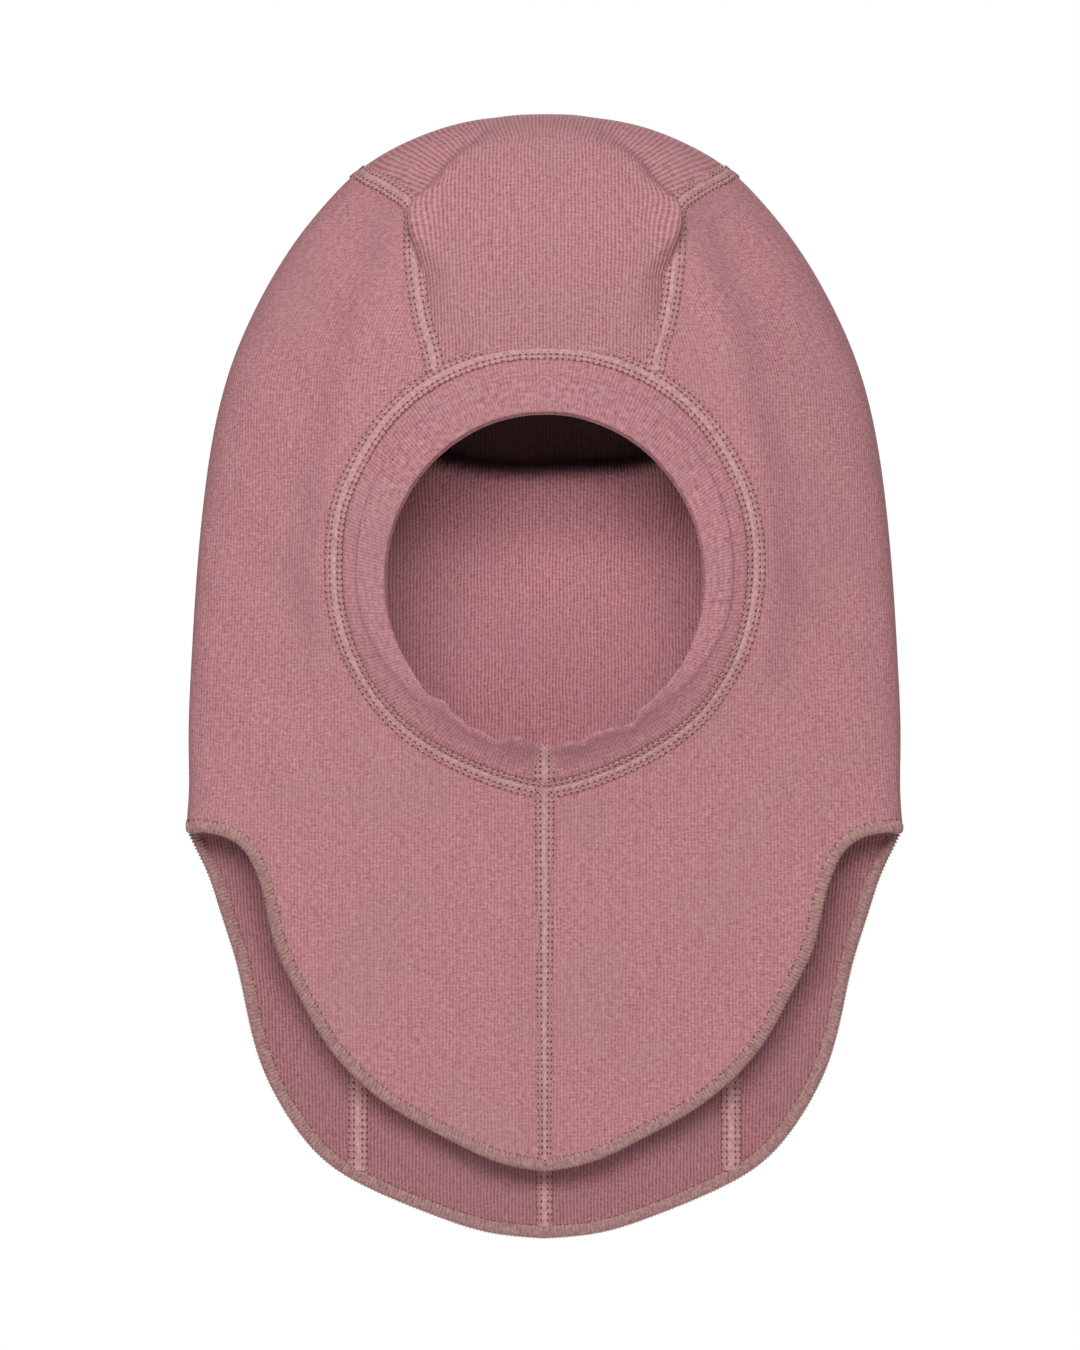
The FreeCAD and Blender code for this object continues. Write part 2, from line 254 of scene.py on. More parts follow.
def facing(shape, phi, t, turn=0.006, step=0.0012):
    # the outward normal of a surface given as a function of phi and t
    low, high = np.clip(t - step, 0, 1), np.clip(t + step, 0, 1)
    around = shape(phi + turn, t) - shape(phi - turn, t)
    down = shape(phi, high) - shape(phi, low)
    return unit(np.cross(down, around))


def outwards(phi, t):
    # the direction in which the cloth puffs: mostly level
    return facing(plainPoint, phi, t) * (1.0, 1.0, 0.15)


def hoodPoint(phi, t):
    # the cloth's outer face with its folds
    plain = plainPoint(phi, t)
    rise = puff(plain[..., 0], plain[..., 2], np.sin(phi) < 0)
    rise = rise * softStep(np.abs(np.sin(phi)), 0.0, 0.3)
    out = plain + outwards(phi, t) * rise[..., None]
    # the cloth curls outwards beside the side notches
    notch = np.hypot(np.abs(plain[..., 0]) - 104.0, (plain[..., 2] + 217.0) * 0.8)
    flare = fullness["notchFlare"] * np.exp(-(notch / 9.0) ** 2)
    front = np.where(np.sin(phi) < 0, -1.0, 1.0)
    out[..., 0] += np.sign(plain[..., 0]) * flare * 0.45
    out[..., 1] += front * flare * 0.5
    return out


def stripPoint(phi, t):
    # the crown strip's outer face, fuller than the rest over the forehead
    plain = plainPoint(phi, t)
    rise, hang = foreheadPuff(plain[..., 0], plain[..., 2])
    front = softStep(-np.sin(phi), 0.0, 0.3)
    out = hoodPoint(phi, t) + outwards(phi, t) * (rise * front)[..., None]
    out[..., 0] += np.sign(plain[..., 0]) * hang * front * 0.9
    out[..., 2] += hang * front * 0.35
    return out


def stripLiningPoint(phi, t):
    # the back lining sags in one fold below the crown
    out = stripPoint(phi, t)
    x, z = out[..., 0], out[..., 2]
    crest = fullness["swagZ"] - 3.6 * np.clip(1 - (x / 33.0) ** 2, -1, 1) + 0.7 * np.sin(x * 0.16 + 0.5)
    above = np.exp(-((z - crest) / 2.6) ** 2)
    below = np.exp(-((z - crest) / 15.0) ** 2)
    fold = np.where(z > crest, above, below) * (1 - softStep(np.abs(x), 34.0, 54.0)) * (np.sin(phi) > 0)
    out[..., 1] -= fullness["swagDepth"] * fold
    return out


def phiAt(x, t, side):
    # the angle of the point with this x; side is -1 in front and 1 behind
    width = sectionAt(t)[1]
    c = np.sign(x) * np.abs(np.clip(x / width, -1, 1)) ** (hood["sectionPower"] / 2)
    return side * np.arccos(np.clip(c, -1, 1))


def onHood(x, z, side):
    t = tOfZ(z)
    return phiAt(np.asarray(x, float), t, side), t


def tidyFaces(points, faces):
    # drops unused points
    used = np.zeros(len(points), bool)
    for face in faces:
        used[list(face)] = True
    index = np.cumsum(used) - 1
    return used, [[int(index[i]) for i in face] for face in faces]


def gridFaces(rows, columns):
    i, j = np.meshgrid(np.arange(rows - 1), np.arange(columns - 1), indexing="ij")
    first = (i * columns + j).ravel()
    return np.stack([first, first + 1, first + columns + 1, first + columns], axis=1)


def clipped(data, faces, value):
    # keeps the part of a mesh where value is above 0; data holds one row of numbers per point
    keep = value > 0
    inside = [keep[list(face)] for face in faces]
    kept = [list(face) for face, k in zip(faces, inside) if k.all()]
    data = list(data)
    cuts = {}

    def cutPoint(a, b):
        key = (min(a, b), max(a, b))
        if key not in cuts:
            share = value[a] / (value[a] - value[b])
            cuts[key] = len(data)
            data.append(data[a] + share * (data[b] - data[a]))
        return cuts[key]

    for face, k in zip(faces, inside):
        if k.all() or not k.any():
            continue
        made = []
        for a, b in zip(face, list(face[1:]) + [face[0]]):
            if keep[a]:
                made.append(int(a))
            if keep[a] != keep[b]:
                made.append(cutPoint(int(a), int(b)))
        if len(made) > 2:
            kept.append(made)
    return np.array(data), kept


def paintedLiningShade(point):
    # the lining's painted shade: how much darker it is drawn deep in the crown, above the fold, and a little on the
    # bibs
    x, z = point[:, 0], point[:, 2]
    crest = fullness["swagZ"] - 3.6 * np.clip(1 - (x / 33.0) ** 2, -1, 1)
    crown = softStep(z, crest - 1.5, crest + 3.0)
    return np.maximum(fullness["crownShade"] * crown, fullness["bibShade"] * softStep(-z, 200.0, 225.0))


def thickSheet(name, data, faces, top, bottom, ribs, shape=hoodPoint):
    # a cloth piece between two depths under the hood's face; data is phi and t
    used, faces = tidyFaces(data, faces)
    data, ribs = data[used], ribs[used]
    face = shape(data[:, 0], data[:, 1])
    normal = facing(shape, data[:, 0], data[:, 1])
    count = len(face)
    points = np.concatenate([face - normal * top, face - normal * bottom])
    # the lining carries its share of painted shade in the knit attribute
    if "lining" in name:
        ribs = np.column_stack([ribs, paintedLiningShade(face)])
    edges = {}
    for f in faces:
        for a, b in zip(f, f[1:] + f[:1]):
            edges[(a, b)] = True
    rim = [(a, b) for a, b in edges if (b, a) not in edges]
    allFaces = [f[::-1] for f in faces] + [[i + count for i in f] for f in faces]
    allFaces += [[a, b, b + count, a + count] for a, b in rim]
    return addMesh(name, points, allFaces, np.concatenate([ribs, ribs]), np.concatenate([normal, -normal]))


def addMesh(name, points, faces, ribs=None, normals=None):
    # points in millimetres; ribs holds the coordinates that the knit is drawn in, and on the lining a share of painted
    # shade
    mesh = bpy.data.meshes.new(name)
    mesh.from_pydata(np.asarray(points) * toMetres, [], [list(map(int, f)) for f in faces])
    mesh.polygons.foreach_set("use_smooth", [True] * len(mesh.polygons))
    if ribs is not None:
        attribute = mesh.attributes.new("knit", "FLOAT_VECTOR", "POINT")
        values = np.zeros((len(points), 3), np.float32)
        values[:, :ribs.shape[1]] = ribs
        attribute.data.foreach_set("vector", values.ravel())
    mesh.validate()
    if normals is not None:
        mesh.normals_split_custom_set_from_vertices(np.asarray(normals, float).tolist())
    piece = bpy.data.objects.new(name, mesh)
    bpy.context.scene.collection.objects.link(piece)
    return piece


knit = {
    "ribPitch": 1.05,          # distance between ribs
    "fanCentreZ": -34.5,       # over the crown the ribs fan out from here
    "fanRibs": 29.2,           # ribs per radian of the fan
    "shear": 0.85,             # how far the side panel's ribs lean at the crown
}


bandRing = smoothThrough(outline["bandSeam"], 500)


def bandRadius(angle):
    turn = np.degrees(np.abs((angle + math.pi) % (2 * math.pi) - math.pi))
    return np.interp(turn, bandRing[:, 0], bandRing[:, 1])


def bandSeamLine(angle, grow=0.0):
    # the seam round the face band; the angle starts at the top and runs anticlockwise in front view
    r = bandRadius(angle) + grow
    return -r * np.sin(angle), outline["bandCentreZ"] + r * np.cos(angle)


def outsideBand(x, z):
    # distance outside the band's seam, for points of the front
    z = z - outline["bandCentreZ"]
    return np.hypot(x, z) - bandRadius(np.arctan2(-x, z))


def aboveHem(x, z, front):
    # distance above the front or the back hem
    x = -np.abs(x)
    return -np.where(front, lineDistance(x, z, frontHemLine[::4]), lineDistance(x, z, backHemLine[::4]))


def sideRibs(phi, t, side):
    # rib number across and millimetres along, for the side panels
    z = sectionAt(t)[0]
    steps = np.linspace(0, 1, 120)
    start = -math.pi / 2
    run = phi[:, None] * steps + start * (1 - steps)
    points = plainPoint(run, np.repeat(t[:, None], len(steps), axis=1))
    length = np.linalg.norm(np.diff(points[..., :2], axis=1), axis=2).sum(axis=1)
    rising = np.maximum(z + 84, 0)
    lean = knit["shear"] * np.where(rising < 45, rising ** 2 / 90, rising - 22.5)
    return np.stack([side * (length + lean) / knit["ribPitch"], -z], axis=1)


def crownRibs(phi, t):
    # upright ribs on the forehead and behind, a fan of ribs over the crown between them
    x, _, z = np.moveaxis(plainPoint(phi, t), -1, 0)
    fan = np.arctan2(x, np.maximum(z - knit["fanCentreZ"], 12.0)) * knit["fanRibs"]
    upright = x / knit["ribPitch"]
    inside = -lineDistance(np.abs(x), z, fullness["foreheadEdge"])
    front = 1 - (1 - softStep(inside, -1.5, 1.5)) * softStep(z, -30.0, -21.0)
    share = np.where(np.sin(phi) > 0, softStep(-z, -2.0, 70.0), front)
    return share * upright + (1 - share) * fan


def evenTurns(start, end, count):
    # angles round a section that are evenly spaced along its cloth
    angle = np.linspace(start, end, 4000)
    share = 2 / hood["sectionPower"]
    x = 100 * np.abs(np.cos(angle)) ** share
    y = 16 * np.abs(np.sin(angle)) ** share
    s = along(np.stack([x, y], axis=1))
    return np.interp(np.linspace(0, s[-1], count), s, angle)


def sidePanel(side, front):
    # phi, t and faces of one half of a side panel, in front of or behind the side fold
    top = tOfZ(-10.0)
    t = np.linspace(top, 1, int(360 / hood["meshStep"]))
    turn = evenTurns(-math.pi / 2, -math.pi, 62) if front else evenTurns(-math.pi, -math.pi * 1.5, 62)
    tt, pp = np.meshgrid(t, turn, indexing="ij")
    data = np.stack([pp.ravel(), tt.ravel()], axis=1)
    faces = [list(map(int, f))[::-1] for f in gridFaces(len(t), len(turn))]
    gap = 0.1
    tests = [lambda x, z: aboveHem(x, z, front) - 0.35]
    if front:
        tests += [lambda x, z: outsideBand(x, z) - gap, lambda x, z: -x - 0.02,
                  lambda x, z: np.where(z < -88, 9.0, -lineDistance(x, z, foreheadLine[::5]) - gap)]
    else:
        tests += [lambda x, z: -x - outline["crownHalf"] - gap]
    for test in tests:
        p = plainPoint(data[:, 0], data[:, 1])
        data, faces = clipped(data, faces, test(p[:, 0], p[:, 2]))
        used, faces = tidyFaces(data, faces)
        data = data[used]
    ribs = sideRibs(data[:, 0], data[:, 1], side)
    if side > 0:    # the right panel mirrors the left one
        data = np.stack([-math.pi - data[:, 0], data[:, 1]], axis=1)
        faces = [f[::-1] for f in faces]
    return data, faces, ribs


def crownStrip():
    # columns follow the ribs from the face band over the crown to the back hem
    columns, frontSteps, backSteps = 67, 62, 205
    data, cross = [], []
    for share in np.linspace(-1, 1, columns):
        share = share * 0.9975
        z = np.linspace(-80.0, 2.6, 700)
        half = np.interp(-z, -foreheadLine[::-1, 1], -foreheadLine[::-1, 0])
        x = share * half
        t = tOfZ(z)
        width = sectionAt(t)[1]
        fits = (outsideBand(x, z) > 0.15) & (np.abs(x) < width)
        first = np.argmax(fits)
        topT = np.interp(abs(share) * outline["crownHalf"], sectionRows[:, 1], np.linspace(0, 1, len(sectionRows)))
        q = np.linspace(1, 0, 500) ** 2
        t = topT + (tOfZ(z[first]) - topT) * q
        x = share * np.interp(-sectionAt(t)[0], -foreheadLine[::-1, 1], -foreheadLine[::-1, 0])
        front = np.stack([phiAt(x, t, -1), t], axis=1)
        backX = share * outline["crownHalf"]
        hemZ = np.interp(-abs(backX), backHemLine[:, 0], backHemLine[:, 1]) + 0.4
        t = topT + (tOfZ(hemZ) - topT) * q[::-1]
        back = np.stack([phiAt(np.full(len(t), backX), t, 1), t], axis=1)
        for path, steps in ((front, frontSteps), (back, backSteps)):
            s = along(plainPoint(path[:, 0], path[:, 1]))
            at = np.linspace(0, s[-1], steps)[0 if path is front else 1:]
            data.append(np.stack([np.interp(at, s, path[:, 0]), np.interp(at, s, path[:, 1])], axis=1))
            cross.append((0 if path is front else 1000) + at)
    length = frontSteps + backSteps - 1
    data = np.concatenate(data).reshape(columns, length, 2).transpose(1, 0, 2).reshape(-1, 2)
    lengthways = np.concatenate(cross).reshape(columns, length).T.ravel()
    faces = [list(map(int, f))[::-1] for f in gridFaces(length, columns)]
    ribs = np.stack([crownRibs(data[:, 0], data[:, 1]), lengthways], axis=1)
    return data, faces, ribs


depths = {
    "outer": (0.0, hood["clothThickness"]),
    "lining": (hood["clothThickness"] + hood["layerGap"],
               hood["clothThickness"] + hood["layerGap"] + hood["liningThickness"]),
}
cloth = {}
data, faces, ribs = crownStrip()
for layer, (top, bottom) in depths.items():
    shape = stripLiningPoint if layer == "lining" else stripPoint
    cloth["crown", layer] = thickSheet(f"crown_{layer}_cloth", data, faces, top, bottom, ribs, shape)
for side, word in ((-1, "left"), (1, "right")):
    for front, place in ((True, "front"), (False, "back")):
        data, faces, ribs = sidePanel(side, front)
        for layer, (top, bottom) in depths.items():
            cloth[word, place, layer] = thickSheet(f"{word}_{place}_{layer}_cloth", data, faces, top, bottom, ribs)
print("cloth panels made:", len(cloth))


def joined(parts):
    # one list of points and faces from several
    points, faces, count = [], [], 0
    for p, f in parts:
        points.append(np.asarray(p))
        faces += [[i + count for i in face] for face in f]
        count += len(p)
    return np.concatenate(points), faces


def thread(path, radius, sides=6):
    # a tube along a line of points
    path = np.asarray(path, float)
    count = len(path)
    ahead = np.roll(path, -1, axis=0) - np.roll(path, 1, axis=0)
    ahead[0], ahead[-1] = path[1] - path[0], path[-1] - path[-2]
    ahead = unit(ahead)
    first = unit(np.cross(ahead, np.where(np.abs(ahead[:, 1:2]) < 0.9, (0, 1, 0), (1, 0, 0))))
    second = np.cross(ahead, first)
    turn = np.linspace(0, 2 * math.pi, sides, endpoint=False)
    ring = np.cos(turn)[None, :, None] * first[:, None] + np.sin(turn)[None, :, None] * second[:, None]
    points = (path[:, None] + np.reshape(radius, (-1, 1, 1)) * ring).reshape(-1, 3)
    i, j = np.meshgrid(np.arange(count - 1), np.arange(sides), indexing="ij")
    a = (i * sides + j).ravel()
    b = (i * sides + (j + 1) % sides).ravel()
    c = ((i + 1) * sides + (j + 1) % sides).ravel()
    d = ((i + 1) * sides + j).ravel()
    faces = np.stack([a, b, c, d], axis=1).tolist()
    faces += [list(range(sides))[::-1], list(range((count - 1) * sides, count * sides))]
    return points, faces


class SeamPath:
    # a line on the hood with the cloth's normal and the direction across; x and z are in front view
    def __init__(self, points, normals, closed=False):
        self.s = along(points)
        self.points, self.normals, self.closed = points, unit(normals), closed
        ahead = np.gradient(points, axis=0)
        if closed:
            ahead[0] = ahead[-1] = points[1] - points[-2]
        self.cross = unit(np.cross(self.normals, unit(ahead)))
        self.length = self.s[-1]
        self.lift = None       # extra height as a function of the place along and across

    def at(self, s, w, h):
        # millimetres along, across and above the cloth
        s, w, h = np.broadcast_arrays(np.asarray(s, float), w, h)
        s = np.mod(s, self.length) if self.closed else s
        h = h if self.lift is None else h + self.lift(s, w)
        point, normal, cross = (np.stack([np.interp(s, self.s, v[:, i]) for i in range(3)], axis=-1)
                                for v in (self.points, self.normals, self.cross))
        return point + unit(cross) * w[..., None] + unit(normal) * h[..., None]


def pathOnHood(x, z, side, closed=False):
    phi, t = onHood(x, z, side)
    points = hoodPoint(phi, t)
    normals = facing(hoodPoint, phi, t)
    keep = np.concatenate([[True], np.linalg.norm(np.diff(points, axis=0), axis=1) > 1e-4])
    return SeamPath(points[keep], normals[keep], closed)


# The folded band round the face, ribs running across it.
band = {
    "openingHalfWidth": 47.8,
    "openingHalfHeight": 49.5,
    "openingCentreZ": -139.1,
    # reach from the seam to the opening's edge, height above the seam: a roll above, a lip below
    "roll": [(-0.02, -0.3), (0.08, 0.45), (0.2, 1.4), (0.4, 2.7), (0.62, 3.5), (0.8, 3.5), (0.92, 2.6), (0.965, 1.2),
             (0.93, 0.0), (0.82, -0.2), (0.55, -0.3), (0.28, -1.1), (0.0, -1.9)],
    "lip": [(-0.02, -0.4), (0.08, 0.7), (0.2, 1.7), (0.42, 3.5), (0.62, 5.8), (0.78, 8.2), (0.9, 10.0), (0.98, 10.6),
            (1.0, 9.4), (0.88, 7.2), (0.55, 2.9), (0.25, 0.3), (0.0, -1.9)],
    "ribs": 340,
    "ripple": 4.0,             # the lower free edge waves
    "pucker": (7.5, 4.0, 2.2), # distance from the middle, spread and height
    "sink": 2.4,               # the front seam holds the middle down
}


def bandPoint(angle, reach, rise):
    seamX, seamZ = bandSeamLine(angle, -0.1)
    edgeX = -band["openingHalfWidth"] * np.sin(angle)
    edgeZ = band["openingCentreZ"] + band["openingHalfHeight"] * np.cos(angle)
    low = softStep(-np.cos(angle), 0.45, 0.9)
    wave = np.sin(angle * 13 + 0.6) + 0.6 * np.sin(angle * 23 + 2.1) + 0.4 * np.sin(angle * 37)
    tight = np.exp(-(np.sin(angle) / 0.09) ** 2) * (np.cos(angle) < 0)
    amount = band["ripple"] * (0.03 + 0.97 * low) * (1 - 0.8 * tight) * softStep(reach, 0.35, 1.0)
    reach = reach + 0.05 * wave * amount * 0.35
    x, z = seamX + reach * (edgeX - seamX), seamZ + reach * (edgeZ - seamZ)
    # two puckers stand on both sides of the front seam
    place, spread, height = band["pucker"]
    puckers = height * np.exp(-((np.abs(x) - place) / spread) ** 2) * (np.cos(angle) < 0) * softStep(reach, 0.3, 1.0)
    rise = rise + amount * 0.3 * wave + puckers - band["sink"] * tight * softStep(reach, 0.15, 0.8)
    seamY = hoodPoint(*onHood(seamX, seamZ, -1))[..., 1]
    return np.stack([x, seamY - rise, z], axis=-1)


def lipShare(angle):
    return softStep(-np.cos(angle), 0.1, 0.85)


def bandRise(angle, reach):
    # height of the band's face above its seam
    roll, lip = np.array(band["roll"][:7]), np.array(band["lip"][:7])
    low = lipShare(angle)
    return ((1 - low) * np.interp(reach, roll[:, 0], roll[:, 1]) + low * np.interp(reach, lip[:, 0], lip[:, 1]))


def makeBand():
    around, roll, lip = 720, smoothThrough(band["roll"], 42), smoothThrough(band["lip"], 42)
    profile = (roll + lip) / 2
    angle = np.linspace(0, 2 * math.pi, around, endpoint=False)
    aa = np.repeat(angle[:, None], len(profile), axis=1)
    low = lipShare(aa)
    reach, rise = roll[:, 0] + low * (lip[:, 0] - roll[:, 0]), roll[:, 1] + low * (lip[:, 1] - roll[:, 1])
    points = bandPoint(aa, reach, rise).reshape(-1, 3)
    rows = len(profile)
    i, j = np.meshgrid(np.arange(around), np.arange(rows - 1), indexing="ij")
    a, b = (i * rows + j).ravel(), ((i + 1) % around * rows + j).ravel()
    faces = np.stack([a, b, b + 1, a + 1], axis=1)[:, ::-1].tolist()
    i = np.arange(around)
    faces += np.stack([i * rows, i * rows + rows - 1, (i + 1) % around * rows + rows - 1, (i + 1) % around * rows],
                      axis=1).tolist()
    across = along(profile * (14.0, 1.0))
    # ribs are numbered both ways from the top, and meet under the front seam
    turns = aa.ravel() / (2 * math.pi)
    turns = np.where(aa.ravel() > math.pi, turns - 1, turns)
    return addMesh("face_band_cloth", points, faces, np.stack([band["ribs"] * turns, np.tile(across, around)], axis=1))


faceBand = makeBand()
print("face band made")


# The flatlock seams: a plain raised strip, a row of needle holes, drawn as dark discs of painted shadow, on each side
# of it and loops of thread outside.
flatlock = {
    "pitch": 1.9,              # one stitch
    "stripHalf": 0.8,
    "needleRow": 1.28,
    "loopEnd": 2.7,
    "threadRadius": 0.2,
    "barRadius": 0.22,
    "above": 0.12,             # height of the bed's foot over the cloth, and under the lining
    "beneath": 0.1,
    "stripRise": 0.42,
    "bedHalf": 2.75,
    "bedRise": 0.16,
    "hole": (0.46, 0.37),      # half length and half width of the shadow at a needle hole
}
underFace = hood["clothThickness"] + hood["layerGap"] + hood["liningThickness"]


def rowOf(parts, name):
    points, faces = joined(parts)
    return addMesh(name, points, faces)


def sweptStrip(path, start, end, half, heights, step=0.8):
    # a soft flat strip along a path; heights are across it
    count = max(int((end - start) / step), 2)
    s = np.linspace(start, end, count)
    w = np.linspace(-1, 1, len(heights))
    wave = 1 + 0.05 * np.sin(s * 1.3) + 0.04 * np.sin(s * 0.47 + 1)
    points = path.at(s[:, None], w[None] * np.reshape(half, (-1, 1)) * wave[:, None],
                     np.broadcast_to(np.asarray(heights), (count, len(heights))))
    faces = gridFaces(count, len(heights))[:, ::-1].tolist()
    return points.reshape(-1, 3), faces


def flatlockSeam(path, start=0.0, end=None, under=False, scale=1.0):
    # scale is the seam's share of its full width, or a function that gives it at a distance along
    end = path.length if end is None else end
    base = -underFace - flatlock["beneath"] if under else flatlock["above"]
    out = -1.0 if under else 1.0
    width = scale if callable(scale) else lambda s: np.full(np.shape(s), scale)
    count = max(int(round((end - start) / flatlock["pitch"])), 2)
    pitch = (end - start) / count
    k = np.arange(count)
    strips, loops, holes = [], [], []
    s = np.linspace(start, end, max(int((end - start) / 0.8), 2))
    # a plain strip down the middle, on a low bed of yarn as wide as the seam
    for part, profile in (("strip", [0.0, 0.72, 0.95, 1.0, 0.95, 0.72, 0.0]),
                          ("bed", [-1.6, 0.4, 0.8, 1.0, 1.0, 0.8, 0.4, -1.6])):
        heights = base + out * flatlock[part + "Rise"] * np.array(profile)
        points, faces = sweptStrip(path, start, end, flatlock[part + "Half"] * width(s), heights)
        strips.append((points, [f[::-1] for f in faces] if under else faces))
    for side in (-1, 1):
        # short bars of thread between the needle holes
        q = np.linspace(0.33, 0.67, 4)
        for row in k:
            at = start + (row + q) * pitch
            w = side * flatlock["needleRow"] * width(at)
            h = base + out * np.array([0.16, 0.34, 0.34, 0.16])
            strips.append(thread(path.at(at, w, h), flatlock["barRadius"], 4))
        # one loop per stitch runs out from the hole and back
        q = np.array([0.0, 0.12, 0.3, 0.5, 0.7, 0.88])
        reach = np.array([0.0, 0.45, 0.88, 1.0, 0.88, 0.45])
        at = (start + (k[:, None] + q) * pitch).ravel()
        jitter = np.repeat(1 + 0.13 * np.sin(k * 2.7 + side) + 0.08 * np.sin(k * 5.1), len(q))
        near = flatlock["needleRow"] + 0.42
        far = near + (flatlock["loopEnd"] - near) * np.tile(reach, count) * jitter
        h = base + out * (0.16 + 0.2 * np.tile(np.sin(reach * math.pi * 0.8), count))
        loops.append(thread(path.at(at, side * far * width(at), h), flatlock["threadRadius"], 5))
        # dark discs at the needle holes and loop ends: painted shadow
        turn = np.linspace(0, 2 * math.pi, 7)[:-1]
        for row in k:
            for across, size in ((flatlock["needleRow"], 1.0), (flatlock["loopEnd"] + 0.1, 0.8)):
                at = start + row * pitch + size * flatlock["hole"][0] * np.cos(turn)
                w = side * across * width(at) + size * flatlock["hole"][1] * np.sin(turn)
                holes.append((path.at(at, w, np.full(6, base + out * 0.21)), [list(range(6))]))
    return strips + loops, holes


threads, needleHoleShadows = {}, {}


def addSeam(body, parts):
    made, holes = parts
    threads.setdefault(body, []).extend(made)
    needleHoleShadows.setdefault(body, []).extend(holes)


def splitAt(path, z):
    # the distance along a path where it passes a height
    falling = path.points[:, 2] < z
    return float(path.s[np.argmax(falling)]) if falling.any() else path.length


def ringAt(path, s, w):
    x, _, z = path.at(s, w, 0.0)
    return x, z - outline["bandCentreZ"]


# paths of the seams
angle = np.linspace(0, 2 * math.pi, 900)
ringX, ringZ = bandSeamLine(angle)
bandPath = pathOnHood(ringX, ringZ, -1, True)
inner = np.sign(np.hypot(*ringAt(bandPath, 0.0, -1.0)) - np.hypot(*ringAt(bandPath, 0.0, 1.0)))


def bandLift(s, w):
    # the inner half of the seam climbs the band, which is about 17 mm wide
    return np.where(inner * w > 0, bandRise(2 * math.pi * s / bandPath.length, inner * w / 17.0), 0)


bandPath.lift = bandLift
x, z = foreheadLine[:, 0], foreheadLine[:, 1]
keep = (z > -76.8) & (z < -14.6)
foreheadPath = pathOnHood(x[keep], z[keep], -1)
z = np.concatenate([np.linspace(-14.4, -40, 160), np.linspace(-40.5, -341, 700)])
crownEnd = np.interp(-outline["crownHalf"], backHemLine[:, 0], backHemLine[:, 1]) + 0.5
z = z[z > crownEnd]
crownPath = pathOnHood(np.full(len(z), -outline["crownHalf"]), z, 1)
z = np.linspace(outline["napeZ"], backHemLine[-1, 1] + 0.5, 500)
napePath = pathOnHood(np.zeros(len(z)), z, 1)


def mirroredPath(path):
    points, normals = path.points * (-1, 1, 1), path.normals * (-1, 1, 1)
    return SeamPath(points, normals, path.closed)


def frontSeamPath():
    # from the opening's lower edge over the band, then down the middle to the front hem
    reach = np.linspace(0.985, 0.05, 60)
    onBand = bandPoint(np.full(60, math.pi), reach, bandRise(np.full(60, math.pi), reach) + 0.1)
    z = np.linspace(bandSeamLine(np.array(math.pi))[1] - 0.4, frontHemLine[-1, 1] + 0.5, 300)
    below = hoodPoint(*onHood(np.zeros(300), z, -1))
    points = np.concatenate([onBand, below])
    ahead = unit(np.gradient(points, axis=0))
    normals = unit(np.cross(ahead, np.array([1.0, 0.0, 0.0])))
    normals *= np.where(normals[:, 1:2] > 0, -1, 1)
    return SeamPath(respaced(points, 500), respaced(normals, 500))


frontPath = frontSeamPath()
hemReach = 3.2    # the seams stop short of the hems


def frontWidth(s):
    return np.interp(s, [0, 20, 60, frontPath.length], [1.0, 1.0, 0.86, 0.62])


addSeam("hood", flatlockSeam(bandPath, scale=0.92))
addSeam("front", flatlockSeam(frontPath, 0.6, frontPath.length - hemReach, scale=frontWidth))
for sign in (-1, 1):
    for path, body in ((foreheadPath, "hood"), (crownPath, "back")):
        path = path if sign < 0 else mirroredPath(path)
        end = path.length - (0 if body == "hood" else hemReach)
        addSeam(body, flatlockSeam(path, 0, end))
        addSeam(body + "Under", flatlockSeam(path, 0, end, under=True))
addSeam("back", flatlockSeam(napePath, 0, napePath.length - hemReach, scale=0.8))
addSeam("backUnder", flatlockSeam(napePath, 0, napePath.length - hemReach, under=True, scale=0.8))
start = splitAt(frontPath, bandSeamLine(np.array(math.pi))[1] - 2)
addSeam("frontUnder", flatlockSeam(frontPath, start, frontPath.length - hemReach, under=True, scale=frontWidth))
# the needle-hole discs are painted shadow
seamPieces, holeShadowPieces = {}, {}
for body in threads:
    name = body.replace("Under", "") + ("_underside" if body.endswith("Under") else "") + "_seam"
    seamPieces[body] = rowOf(threads[body], name + "_threads")
    holeShadowPieces[body] = rowOf(needleHoleShadows[body], name + "_needle_hole_shadows")
print("seams made:", len(seamPieces))

# The overlocked hems: loops of thread wrapped round the cut edge over a flat base.
overlock = {"pitch": 1.15, "width": 3.5, "threadRadius": 0.24, "baseRise": 0.16}


def hemPath(line, side, step=0.5):
    left = respaced(line, int(along(line)[-1] / step))
    x = np.concatenate([left[:, 0], -left[-2::-1, 0]])
    z = np.concatenate([left[:, 1], left[-2::-1, 1]])
    return pathOnHood(x, z + 0.3, side)


